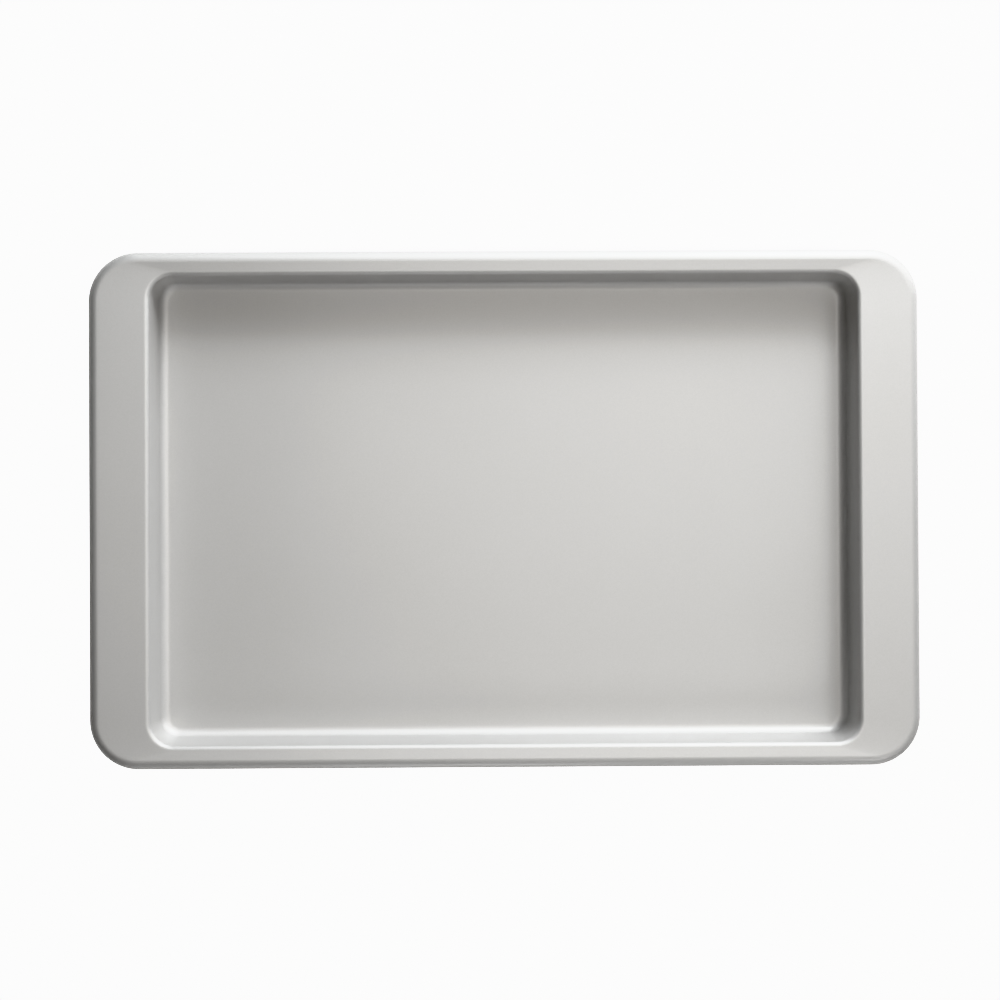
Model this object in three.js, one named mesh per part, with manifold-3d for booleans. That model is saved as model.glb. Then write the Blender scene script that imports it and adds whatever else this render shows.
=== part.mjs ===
// A sheet pan: one steel sheet pressed into a shallow rectangular tray, with a broad flange at each
// end to hold it by and a narrow one along each side. The sheet's edge turns down all round and is
// rolled in under the flange, where it holds a loop of stiffening wire.
// Millimetres, +Z up, +X along the pan. The origin is the centre of the underside.
import * as THREE from "three";
import { mergeVertices } from "three/addons/utils/BufferGeometryUtils.js";
import Module from "manifold-3d";

// Driving dimensions of the tray
const INSIDE_LENGTH = 381; // between the flanges of the two ends, where their lips begin
const INSIDE_WIDTH = 254; // between the flanges of the two sides, where their lips begin
const INSIDE_DEPTH = 25.4; // from the floor to the lip's top
const SHEET = 0.8; // thickness of the steel sheet
const WALL_DRAFT_DEG = 5; // lean of the walls from upright
const FLOOR_FILLET = 4.8; // inside radius between the floor and the walls
const FLOOR_CORNER_RADIUS = 6; // corners of the flat floor, seen from above

// Driving dimensions of the flange and its rolled edge
const LIP_RADIUS = 2.5; // top radius where the wall turns out into the flange
const HANDLE_LAND = 24.9; // flat width of the flange at each end, past the lip
const SIDE_LAND = 5; // flat width of the flange along each side, past the lip
const FLANGE_RISE = 0.8; // of the flange from the lip to where its edge turns down
const FLANGE_CORNER_RADIUS = 21; // corners of the flat flange, seen from above
const TURN_DOWN_RADIUS = 5.3; // outer radius where the flange's edge turns down
const WIRE_DIAMETER = 3;
const WIRE_CLEARANCE = 0.35; // between the wire and the sheet rolled round it
const CURL_SWEEP_DEG = 250; // how far the sheet's edge goes round the wire
const WIRE_END_GAP = 1.2; // between the wire's two ends

// Facets
const CORNER_STEPS = 8;
const FILLET_STEPS = 4;
const LIP_STEPS = 4;
const TURN_DOWN_STEPS = 5;
const CURL_STEPS = 12;
const WIRE_SIDES = 10;

// Sizes that follow from the driving ones
const QUARTER_TURN = Math.PI / 2;
const draft = THREE.MathUtils.degToRad(WALL_DRAFT_DEG);
const lipTop = SHEET + INSIDE_DEPTH;
const bendTangent = Math.tan((QUARTER_TURN - draft) / 2); // tangent length of a bend, per unit of its radius
const floorInset = INSIDE_DEPTH * Math.tan(draft) + FLOOR_FILLET * bendTangent;
const lipRun = LIP_RADIUS * bendTangent;
const curlRadius = WIRE_DIAMETER / 2 + WIRE_CLEARANCE + SHEET;
const curlHeight = lipTop + FLANGE_RISE - TURN_DOWN_RADIUS; // of the rolled edge's centre line and the wire's

// Two outlines that others run parallel to: rounded rectangles round the pan, seen from above. The
// opening is where the walls' lines meet the lip's top, and the edge is the pan's outermost line.
const opening = {
  halfLength: INSIDE_LENGTH / 2 - lipRun,
  halfWidth: INSIDE_WIDTH / 2 - lipRun,
  cornerRadius: FLOOR_CORNER_RADIUS + floorInset,
};
const edge = {
  halfLength: INSIDE_LENGTH / 2 + HANDLE_LAND + TURN_DOWN_RADIUS,
  halfWidth: INSIDE_WIDTH / 2 + SIDE_LAND + TURN_DOWN_RADIUS,
  cornerRadius: FLANGE_CORNER_RADIUS + TURN_DOWN_RADIUS,
};

// The points of a line that runs round the pan at one height, anticlockwise from above, and lies
// further out than the base outline by the given distance.
function ring(base, out, z) {
  const radius = base.cornerRadius + out;
  const x = base.halfLength - base.cornerRadius;
  const y = base.halfWidth - base.cornerRadius;
  const centres = [
    [x, y],
    [-x, y],
    [-x, -y],
    [x, -y],
  ];
  return centres.flatMap(([cx, cy], quarter) => {
    const start = quarter * QUARTER_TURN;
    const corner = new THREE.EllipseCurve(cx, cy, radius, radius, start, start + QUARTER_TURN);
    return corner.getPoints(CORNER_STEPS).map((p) => new THREE.Vector3(p.x, p.y, z));
  });
}

// The lines round the pan that one bend of the sheet's section gives. The bend's arc has its centre
// at a distance out from the base outline and at a height.
function bendRings(base, centreOut, centreZ, radius, startAngle, endAngle, clockwise, steps) {
  const arc = new THREE.EllipseCurve(
    centreOut,
    centreZ,
    radius,
    radius,
    startAngle,
    endAngle,
    clockwise,
  );
  return arc.getPoints(steps).map((p) => ring(base, p.x, p.y));
}

// One face of the sheet, from the floor to the rolled edge. Depth is 0 on the upper face and the
// sheet's thickness on the under one, whose bends have the same centres.
function sheetFace(depth) {
  const filletOut = -floorInset;
  const fillet = bendRings(
    opening,
    filletOut,
    SHEET + FLOOR_FILLET,
    FLOOR_FILLET + depth,
    -QUARTER_TURN,
    -draft,
    false,
    FILLET_STEPS,
  );
  const lip = bendRings(
    opening,
    lipRun,
    lipTop - LIP_RADIUS,
    LIP_RADIUS - depth,
    Math.PI - draft,
    QUARTER_TURN,
    true,
    LIP_STEPS,
  );
  const turnDown = bendRings(
    edge,
    -TURN_DOWN_RADIUS,
    curlHeight,
    TURN_DOWN_RADIUS - depth,
    QUARTER_TURN,
    0,
    true,
    TURN_DOWN_STEPS,
  );
  const curl = bendRings(
    edge,
    -curlRadius,
    curlHeight,
    curlRadius - depth,
    0,
    -THREE.MathUtils.degToRad(CURL_SWEEP_DEG),
    true,
    CURL_STEPS,
  );
  return [...fillet, ...lip, ...turnDown, ...curl.slice(1)];
}

// The two triangles of each cell between two neighbouring lines.
function stripTriangles(first, second, count) {
  const triangles = [];
  for (let i = 0; i < count; i += 1) {
    const next = (i + 1) % count;
    triangles.push(first + i, second + i, second + next);
    triangles.push(first + i, second + next, first + next);
  }
  return triangles;
}

// A closed skin over lines that run round the pan. Its first and last lines are either joined to
// each other, as in a tube, or filled, as the two faces of the floor are.
function skin(rings, joined) {
  const count = rings[0].length;
  const geometry = new THREE.BufferGeometry().setFromPoints(rings.flat());
  const triangles = [];
  for (let i = 0; i + 1 < rings.length; i += 1) {
    triangles.push(...stripTriangles(i * count, (i + 1) * count, count));
  }
  const last = (rings.length - 1) * count;
  if (joined) {
    triangles.push(...stripTriangles(last, 0, count));
  } else {
    const contour = rings[0].map((p) => new THREE.Vector2(p.x, p.y));
    for (const [a, b, c] of THREE.ShapeUtils.triangulateShape(contour, [])) {
      triangles.push(a, b, c);
      triangles.push(last + c, last + b, last + a);
    }
  }
  geometry.setIndex(triangles);
  geometry.computeVertexNormals();
  return geometry;
}

const wasm = await Module();
wasm.setup();

function toSolid(geometry) {
  const bare = geometry.clone();
  bare.deleteAttribute("normal");
  bare.deleteAttribute("uv");
  const merged = mergeVertices(bare);
  return new wasm.Manifold(
    new wasm.Mesh({
      numProp: 3,
      vertProperties: merged.attributes.position.array,
      triVerts: new Uint32Array(merged.index.array),
    }),
  );
}

function toGeometry(solid) {
  const mesh = solid.getMesh();
  const geometry = new THREE.BufferGeometry();
  geometry.setAttribute("position", new THREE.BufferAttribute(mesh.vertProperties, 3));
  geometry.setIndex(new THREE.BufferAttribute(mesh.triVerts, 1));
  geometry.computeVertexNormals();
  return geometry;
}

// The pressed sheet: its upper face out to the rolled edge, then its under face back to the floor.
function panShell() {
  const geometry = skin([...sheetFace(0), ...sheetFace(SHEET).reverse()], false);
  const silverCoat = new THREE.MeshStandardMaterial({
    color: 0xc6c5c2,
    roughness: 0.4,
    metalness: 0.85,
  });
  const mesh = new THREE.Mesh(geometry, silverCoat);
  mesh.name = "pan_shell";
  return mesh;
}

// The stiffening wire: one length bent to the pan's outline, whose ends meet behind the rear side.
function rimWire() {
  const radius = WIRE_DIAMETER / 2;
  const section = bendRings(edge, -curlRadius, curlHeight, radius, 0, 2 * Math.PI, true, WIRE_SIDES);
  const loop = toSolid(skin(section.slice(0, WIRE_SIDES), true));
  const gap = new THREE.BoxGeometry(WIRE_END_GAP, 2 * WIRE_DIAMETER, 2 * WIRE_DIAMETER);
  gap.translate(0, edge.halfWidth - curlRadius, curlHeight);
  const galvanised = new THREE.MeshStandardMaterial({
    color: 0x9ea2a4,
    roughness: 0.45,
    metalness: 1,
  });
  const mesh = new THREE.Mesh(toGeometry(loop.subtract(toSolid(gap))), galvanised);
  mesh.name = "rim_wire";
  return mesh;
}

const sheetPan = new THREE.Group();
sheetPan.add(panShell(), rimWire());

export default sheetPan;
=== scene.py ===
"""A sheet pan: a shallow tray pressed from one coated steel sheet, whose edge is rolled round a wire.

Everything is in metres, +Z up and +X along the pan, with the origin at the centre of the underside.
"""

import math
from collections import namedtuple

import bmesh
import bpy
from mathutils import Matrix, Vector


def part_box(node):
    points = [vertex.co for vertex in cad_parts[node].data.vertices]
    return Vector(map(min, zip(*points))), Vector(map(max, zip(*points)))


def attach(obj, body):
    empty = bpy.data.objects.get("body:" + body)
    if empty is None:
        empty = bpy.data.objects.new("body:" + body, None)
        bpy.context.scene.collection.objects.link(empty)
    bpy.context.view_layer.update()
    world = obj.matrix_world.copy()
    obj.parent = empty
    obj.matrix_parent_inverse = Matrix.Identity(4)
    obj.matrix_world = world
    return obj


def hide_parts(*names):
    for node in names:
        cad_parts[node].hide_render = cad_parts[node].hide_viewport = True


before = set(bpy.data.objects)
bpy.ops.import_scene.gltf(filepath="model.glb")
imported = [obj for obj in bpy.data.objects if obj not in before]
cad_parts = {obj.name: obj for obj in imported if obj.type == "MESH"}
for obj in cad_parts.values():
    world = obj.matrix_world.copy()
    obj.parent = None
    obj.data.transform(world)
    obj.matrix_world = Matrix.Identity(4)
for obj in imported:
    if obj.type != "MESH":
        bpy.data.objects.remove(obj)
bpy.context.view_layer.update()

MM = 0.001
QUARTER_TURN = math.pi / 2

# Sizes of the tray
INSIDE_LENGTH = 381 * MM  # between the flanges of the two ends, where their lips begin
INSIDE_WIDTH = 254 * MM  # between the flanges of the two sides, where their lips begin
SHEET = 0.8 * MM  # thickness of the steel sheet
WALL_DRAFT = math.radians(5)  # lean of the walls from upright
FLOOR_FILLET = 4.8 * MM  # inside radius between the floor and the walls
FLOOR_CORNER_RADIUS = 6 * MM  # corners of the flat floor, seen from above

# Sizes of the flange and its rolled edge
LIP_RADIUS = 2.5 * MM  # top radius where the wall turns out into the flange
FLANGE_RISE = 0.8 * MM  # of the flange from the lip to where its edge turns down
FLANGE_LEAN = math.radians(3)  # of the flange at the bends on both sides of it
FLANGE_CORNER_RADIUS = 21 * MM  # corners of the flat flange, seen from above
TURN_DOWN_RADIUS = 5.3 * MM  # outer radius where the flange's edge turns down
WIRE_DIAMETER = 3 * MM
WIRE_CLEARANCE = 0.35 * MM  # between the wire and the sheet rolled round it
CURL_SWEEP = math.radians(250)  # how far the sheet's edge goes round the wire
WIRE_END_GAP = 1.2 * MM  # between the wire's two ends
CUT_EDGE_ROUND = 0.2 * MM  # rounding of the sheet's cut edge
WIRE_END_ROUND = 0.3 * MM  # rounding of the wire's cut ends

# Fineness of the meshes
CORNER_SEGMENTS = 24
FILLET_STEPS = 12
LIP_STEPS = 10
TURN_DOWN_STEPS = 14
CURL_STEPS = 30
WIRE_SIDES = 24
STACK_STEP = 20 * MM  # between neighbouring outlines while they are bridged
FLOOR_RING = 1 * MM  # width of the flat ring round the floor, which keeps the floor's shading flat
CUT_TOLERANCE = 0.0001 * MM  # points as near as this to a cutting plane lie on it

# The table under the pan
TABLE_HALF_SIDE = 4
TABLE_GAP = 0.1 * MM  # keeps the table's face and the pan's underside out of one plane
CONTACT_REACH = 20 * MM  # of the shade round the pan's foot, which the flange hides from above
CONTACT_POWER = 4  # the higher, the deeper this shade
GLARE = 3  # brightness of the white that the camera sees burnt out
GLARE_SHARE = 0.9  # of that white in what the camera sees of the table

# The lights
LIGHT_DISTANCE = 1.3  # of every light from the pan
SOFTBOX_SIDE = 0.36
WHITE = (1, 1, 1)
WARM = (1.03, 1, 0.955)
COOL = (0.98, 1, 1.015)

# The camera
CAMERA_HEIGHT = 0.95  # above the lip
CAMERA_PLACE = (-30 * MM, 25 * MM)  # from the pan's centre, seen from above
CAMERA_TURN = (math.radians(0.45), math.radians(-0.45), math.radians(-0.29))
VIEW_WIDTH = 0.5298  # of what the picture takes in at the lip's height
PICTURE_SHIFT = (0.0379, -0.0519)  # of the picture off the lens's axis, as shares of its width
SENSOR_WIDTH = 36  # in mm, as is the focal length

# Sizes that follow from the others and from the frame
shell_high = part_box("pan_shell")[1]
edge_top = shell_high.z
lip_top = edge_top - FLANGE_RISE
inside_depth = lip_top - SHEET
bend_tangent = math.tan((QUARTER_TURN - WALL_DRAFT) / 2)  # tangent length of a bend, per unit of its radius
floor_inset = inside_depth * math.tan(WALL_DRAFT) + FLOOR_FILLET * bend_tangent
lip_run = LIP_RADIUS * bend_tangent
curl_radius = WIRE_DIAMETER / 2 + WIRE_CLEARANCE + SHEET
curl_height = edge_top - TURN_DOWN_RADIUS

# A line round the pan, seen from above: a rectangle with round corners, at one height
Outline = namedtuple("Outline", "half_length half_width corner_radius height")
opening = Outline(  # where the walls' lines meet the lip's top
    half_length=INSIDE_LENGTH / 2 - lip_run,
    half_width=INSIDE_WIDTH / 2 - lip_run,
    corner_radius=FLOOR_CORNER_RADIUS + floor_inset,
    height=lip_top,
)
edge = Outline(  # the pan's outermost line
    half_length=shell_high.x,
    half_width=shell_high.y,
    corner_radius=FLANGE_CORNER_RADIUS + TURN_DOWN_RADIUS,
    height=edge_top,
)


def parallel(base, out, height):
    """The outline that runs further out than the base one by the given distance."""
    return Outline(base.half_length + out, base.half_width + out, base.corner_radius + out, height)


def between(first, second, shares):
    """Outlines on the straight stretch of the section from one outline to another."""
    return [Outline(*(a + (b - a) * share for a, b in zip(first, second))) for share in shares]


def bend(base, centre_out, centre_height, radius, start, end, steps):
    """Outlines along one bend of the section, whose arc has its centre out from the base outline."""
    outlines = []
    for step in range(steps + 1):
        angle = start + (end - start) * step / steps
        out = centre_out + radius * math.cos(angle)
        outlines.append(parallel(base, out, centre_height + radius * math.sin(angle)))
    return outlines


def sheet_face(depth):
    """Outlines on one face of the sheet, from the floor to the rolled edge.

    Depth is 0 on the upper face and the sheet's thickness on the under one.
    """
    flat_shares = (0.04, 0.35, 0.65, 0.96)
    flange_angle = QUARTER_TURN + FLANGE_LEAN
    fillet_height = SHEET + FLOOR_FILLET
    fillet = bend(
        opening, -floor_inset, fillet_height, FLOOR_FILLET + depth, -QUARTER_TURN, -WALL_DRAFT, FILLET_STEPS
    )
    lip_start = math.pi - WALL_DRAFT
    lip_height = lip_top - LIP_RADIUS
    lip = bend(opening, lip_run, lip_height, LIP_RADIUS - depth, lip_start, flange_angle, LIP_STEPS)
    turn_down = bend(
        edge, -TURN_DOWN_RADIUS, curl_height, TURN_DOWN_RADIUS - depth, flange_angle, 0, TURN_DOWN_STEPS
    )
    curl = bend(edge, -curl_radius, curl_height, curl_radius - depth, 0, -CURL_SWEEP, CURL_STEPS)
    floor_edge = parallel(fillet[0], -FLOOR_RING, fillet[0].height)
    wall = between(fillet[-1], lip[0], flat_shares)
    land = between(lip[-1], turn_down[0], flat_shares)
    return [floor_edge, *fillet, *wall, *lip, *land, *turn_down, *curl[1:]]


def flat_shape(bm, outline, height):
    """A flat face with the outline as its border."""
    corners = bmesh.ops.create_grid(bm, x_segments=1, y_segments=1, size=1)["verts"]
    bmesh.ops.scale(bm, vec=(outline.half_length, outline.half_width, 1), verts=corners)
    bmesh.ops.translate(bm, vec=(0, 0, height), verts=corners)
    rounded = bmesh.ops.bevel(
        bm,
        geom=corners,
        affect="VERTICES",
        offset=outline.corner_radius,
        segments=CORNER_SEGMENTS,
        profile=0.5,
        material=-1,
    )
    return rounded["verts"][0].link_faces[0]


def loft(bm, outlines, closed):
    """Skins the outlines in turn, as a closed tube or with the first and the last filled.

    They are bridged as a tall stack, where none lies in another's plane, and then let down.
    The edges of each outline are returned.
    """
    levels = [step * STACK_STEP for step in range(len(outlines))]
    shapes = [flat_shape(bm, outline, level) for outline, level in zip(outlines, levels)]
    rings = [list(shape.verts) for shape in shapes]
    borders = [list(shape.edges) for shape in shapes]
    inner_shapes = shapes if closed else shapes[1:-1]
    bmesh.ops.delete(bm, geom=inner_shapes, context="FACES_ONLY")
    following = borders[1:] + borders[:1] if closed else borders[1:]
    for first, second in zip(borders, following):
        bmesh.ops.bridge_loops(bm, edges=first + second)
    for outline, level, ring in zip(outlines, levels, rings):
        bmesh.ops.translate(bm, vec=(0, 0, outline.height - level), verts=ring)
    return borders


def round_edges(bm, edges, radius):
    bmesh.ops.bevel(
        bm, geom=edges, affect="EDGES", offset=radius, segments=3, profile=0.5, material=-1
    )


def new_piece(name, bm, material):
    """A finished piece on the pan's one body, with its place in its mesh."""
    bmesh.ops.recalc_face_normals(bm, faces=bm.faces[:])
    for face in bm.faces:
        face.smooth = True
    mesh = bpy.data.meshes.new(name)
    bm.to_mesh(mesh)
    bm.free()
    mesh.materials.append(material)
    piece = bpy.data.objects.new(name, mesh)
    bpy.context.scene.collection.objects.link(piece)
    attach(piece, "root")
    return piece


def pressed_sheet(material):
    bm = bmesh.new()
    upper = sheet_face(0)
    under = sheet_face(SHEET)
    borders = loft(bm, upper + under[::-1], closed=False)
    cut_edge = borders[len(upper) - 1] + borders[len(upper)]
    round_edges(bm, cut_edge, CUT_EDGE_ROUND)
    piece = new_piece("pressed_sheet", bm, material)
    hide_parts("pan_shell")


def part_wire_ends(bm):
    """Takes out the short stretch between the wire's two ends, at the middle of the rear side."""
    for side in (-1, 1):
        rear = [face for face in bm.faces if face.calc_center_median().y > 0]
        rear_edges = {line for face in rear for line in face.edges}
        rear_points = {point for face in rear for point in face.verts}
        bmesh.ops.bisect_plane(
            bm,
            geom=[*rear_points, *rear_edges, *rear],
            dist=CUT_TOLERANCE,
            plane_co=(side * WIRE_END_GAP / 2, 0, 0),
            plane_no=(1, 0, 0),
        )
    middles = {face: face.calc_center_median() for face in bm.faces}
    gap = [face for face, middle in middles.items() if middle.y > 0 and abs(middle.x) < WIRE_END_GAP / 2]
    bmesh.ops.delete(bm, geom=gap, context="FACES")
    ends = [line for line in bm.edges if line.is_boundary]
    bmesh.ops.holes_fill(bm, edges=ends, sides=0)
    round_edges(bm, ends, WIRE_END_ROUND)


def edge_wire(material):
    bm = bmesh.new()
    section = bend(edge, -curl_radius, curl_height, WIRE_DIAMETER / 2, 0, -2 * math.pi, WIRE_SIDES)
    loft(bm, section[:-1], closed=True)
    part_wire_ends(bm)
    piece = new_piece("edge_wire", bm, material)
    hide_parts("rim_wire")


def new_group(name, outputs):
    """A node group that takes a place and a size and gives the named values."""
    group = bpy.data.node_groups.new(name, "ShaderNodeTree")
    group.interface.new_socket("Place", in_out="INPUT", socket_type="NodeSocketVector")
    group.interface.new_socket("Size", in_out="INPUT", socket_type="NodeSocketFloat")
    for output in outputs:
        group.interface.new_socket(output, in_out="OUTPUT", socket_type="NodeSocketFloat")
    return group


def fill_group(group, texture):
    """Joins the group's place and size to a texture's, and returns the group's output node."""
    given = group.nodes.new("NodeGroupInput")
    result = group.nodes.new("NodeGroupOutput")
    per_size = group.nodes.new("ShaderNodeMath")
    per_size.operation = "DIVIDE"
    per_size.inputs[0].default_value = 1
    group.links.new(given.outputs["Size"], per_size.inputs[1])
    group.links.new(given.outputs["Place"], texture.inputs["Vector"])
    group.links.new(per_size.outputs["Value"], texture.inputs["Scale"])
    return result


def flake_group():
    """Flakes or crystals of about one size: a random value for each, and the way to its middle."""
    group = new_group("flake", ["Flake", "Way"])
    cells = group.nodes.new("ShaderNodeTexVoronoi")
    result = fill_group(group, cells)
    parts = group.nodes.new("ShaderNodeSeparateColor")
    group.links.new(cells.outputs["Color"], parts.inputs["Color"])
    group.links.new(parts.outputs["Red"], result.inputs["Flake"])
    group.links.new(cells.outputs["Distance"], result.inputs["Way"])
    return group


def drift_group():
    """A slow change over the surface, from 0 to 1 and mostly near the middle."""
    group = new_group("drift", ["Drift"])
    noise = group.nodes.new("ShaderNodeTexNoise")
    noise.inputs["Detail"].default_value = 3
    result = fill_group(group, noise)
    group.links.new(noise.outputs["Fac"], result.inputs["Drift"])
    return group


def new_material(name):
    material = bpy.data.materials.new(name)
    material.use_nodes = True
    tree = material.node_tree
    return material, tree, tree.nodes["Principled BSDF"]


def use_group(tree, group, size):
    """One use of a group, at places on the object."""
    place = tree.nodes.new("ShaderNodeTexCoord")
    node = tree.nodes.new("ShaderNodeGroup")
    node.node_tree = group
    node.inputs["Size"].default_value = size
    tree.links.new(place.outputs["Object"], node.inputs["Place"])
    return node.outputs


def spread(tree, value, low, high):
    """A value from 0 to 1, spread from low to high."""
    node = tree.nodes.new("ShaderNodeMapRange")
    node.inputs["To Min"].default_value = low
    node.inputs["To Max"].default_value = high
    tree.links.new(value, node.inputs["Value"])
    return node.outputs["Result"]


def average(tree, first, second):
    node = tree.nodes.new("ShaderNodeMath")
    node.operation = "ADD"
    tree.links.new(spread(tree, first, 0, 0.5), node.inputs[0])
    tree.links.new(spread(tree, second, 0, 0.5), node.inputs[1])
    return node.outputs["Value"]


def two_tones(tree, value, dark, light):
    node = tree.nodes.new("ShaderNodeValToRGB")
    first, last = node.color_ramp.elements
    first.color = (*dark, 1)
    last.color = (*light, 1)
    tree.links.new(value, node.inputs["Fac"])
    return node.outputs["Color"]


def relief(tree, height, depth):
    """The normal of a surface that a height from 0 to 1 raises by up to the given depth."""
    node = tree.nodes.new("ShaderNodeBump")
    node.inputs["Distance"].default_value = depth
    tree.links.new(height, node.inputs["Height"])
    return node.outputs["Normal"]


def silver_coat(flake, drift):
    """A satin coat with metal flakes under a thin clear film, too fine to tell apart from a step away."""
    material, tree, shader = new_material("silver_coat")
    flakes = use_group(tree, flake, 0.35 * MM)
    cloud = use_group(tree, drift, 90 * MM)
    tone = average(tree, flakes["Flake"], cloud["Drift"])
    colour = two_tones(tree, tone, dark=(0.4585, 0.4575, 0.4545), light=(0.5385, 0.537, 0.534))
    tree.links.new(colour, shader.inputs["Base Color"])
    tree.links.new(spread(tree, tone, 0.61, 0.71), shader.inputs["Roughness"])
    tree.links.new(relief(tree, flakes["Way"], 0.003 * MM), shader.inputs["Normal"])
    shader.inputs["Metallic"].default_value = 0.85
    shader.inputs["Coat Weight"].default_value = 0.3
    shader.inputs["Coat Roughness"].default_value = 0.2
    return material


def galvanised_wire(flake, drift):
    """Dull zinc with the crystals that hot dipping leaves."""
    material, tree, shader = new_material("galvanised_wire")
    crystals = use_group(tree, flake, 2.5 * MM)
    cloud = use_group(tree, drift, 15 * MM)
    tone = average(tree, crystals["Flake"], cloud["Drift"])
    colour = two_tones(tree, tone, dark=(0.42, 0.432, 0.437), light=(0.58, 0.598, 0.603))
    tree.links.new(colour, shader.inputs["Base Color"])
    tree.links.new(spread(tree, tone, 0.35, 0.55), shader.inputs["Roughness"])
    tree.links.new(relief(tree, crystals["Way"], 0.01 * MM), shader.inputs["Normal"])
    shader.inputs["Metallic"].default_value = 1
    return material


def white_table():
    """White paper that the camera sees nearly burnt out, with a soft shade round the pan's foot."""
    material, tree, shader = new_material("white_table")
    shader.inputs["Base Color"].default_value = (0.8, 0.8, 0.8, 1)
    shader.inputs["Roughness"].default_value = 0.8
    openness = tree.nodes.new("ShaderNodeAmbientOcclusion")
    openness.inputs["Distance"].default_value = CONTACT_REACH
    shade = tree.nodes.new("ShaderNodeMath")
    shade.operation = "POWER"
    shade.inputs[1].default_value = CONTACT_POWER
    tree.links.new(openness.outputs["AO"], shade.inputs[0])
    glare = tree.nodes.new("ShaderNodeEmission")
    tree.links.new(spread(tree, shade.outputs["Value"], 0, GLARE), glare.inputs["Strength"])
    rays = tree.nodes.new("ShaderNodeLightPath")
    both = tree.nodes.new("ShaderNodeMixShader")
    tree.links.new(spread(tree, rays.outputs["Is Camera Ray"], 0, GLARE_SHARE), both.inputs["Fac"])
    tree.links.new(shader.outputs["BSDF"], both.inputs[1])
    tree.links.new(glare.outputs["Emission"], both.inputs[2])
    tree.links.new(both.outputs["Shader"], tree.nodes["Material Output"].inputs["Surface"])
    return material


def stage_floor(material):
    bm = bmesh.new()
    corners = bmesh.ops.create_grid(bm, x_segments=1, y_segments=1, size=TABLE_HALF_SIDE)["verts"]
    bmesh.ops.translate(bm, vec=(0, 0, -TABLE_GAP), verts=corners)
    mesh = bpy.data.meshes.new("stage_floor")
    bm.to_mesh(mesh)
    bm.free()
    mesh.materials.append(material)
    floor = bpy.data.objects.new("stage_floor", mesh)
    bpy.context.scene.collection.objects.link(floor)


def photo_camera():
    """A camera nearly straight above the pan, whose picture is cut a little off its axis."""
    data = bpy.data.cameras.new("photo_camera")
    camera = bpy.data.objects.new("photo_camera", data)
    bpy.context.scene.collection.objects.link(camera)
    data.sensor_width = SENSOR_WIDTH
    data.lens = SENSOR_WIDTH * CAMERA_HEIGHT / VIEW_WIDTH
    data.shift_x, data.shift_y = PICTURE_SHIFT
    camera.location = (*CAMERA_PLACE, lip_top + CAMERA_HEIGHT)
    camera.rotation_euler = CAMERA_TURN
    bpy.context.scene.camera = camera


def softbox(name, azimuth, elevation, power, size=SOFTBOX_SIDE, tint=WHITE):
    """A square light that points at the pan, at an azimuth in degrees from the rear towards the right."""
    data = bpy.data.lights.new(name, "AREA")
    data.size = size
    data.energy = power
    data.color = tint
    light = bpy.data.objects.new(name, data)
    round_angle = math.radians(azimuth)
    up_angle = math.radians(elevation)
    level = math.cos(up_angle)
    direction = Vector((math.sin(round_angle) * level, math.cos(round_angle) * level, math.sin(up_angle)))
    light.location = direction * LIGHT_DISTANCE
    light.rotation_mode = "QUATERNION"
    light.rotation_quaternion = direction.to_track_quat("Z", "Y")
    bpy.context.scene.collection.objects.link(light)


def white_surroundings():
    """White beyond the table for the camera, which gives no light."""
    world = bpy.data.worlds.new("white_surroundings")
    world.use_nodes = True
    tree = world.node_tree
    background = tree.nodes["Background"]
    background.inputs["Color"].default_value = (GLARE, GLARE, GLARE, 1)
    rays = tree.nodes.new("ShaderNodeLightPath")
    tree.links.new(rays.outputs["Is Camera Ray"], background.inputs["Strength"])
    bpy.context.scene.world = world


flake = flake_group()
drift = drift_group()
pressed_sheet(silver_coat(flake, drift))
edge_wire(galvanised_wire(flake, drift))
stage_floor(white_table())
white_surroundings()
photo_camera()
softbox("rear_low", azimuth=20, elevation=12, power=8.7, tint=COOL)
softbox("rear_middle", azimuth=20, elevation=28, power=14.6, tint=COOL)
softbox("rear_high", azimuth=20, elevation=36, power=4.9, tint=COOL)
softbox("rear_wide", azimuth=40, elevation=35, power=5.5, size=0.9, tint=WARM)
softbox("right_low", azimuth=60, elevation=6, power=5.7)
softbox("right_high", azimuth=90, elevation=62, power=1.2, tint=WARM)
softbox("front_low", azimuth=180, elevation=8, power=2.6)
softbox("front_right", azimuth=150, elevation=35, power=3.3)
softbox("left", azimuth=270, elevation=35, power=0.4)
softbox("top", azimuth=90, elevation=86, power=5.7, size=0.6, tint=WARM)
bpy.context.scene.view_settings.view_transform = "Khronos PBR Neutral"
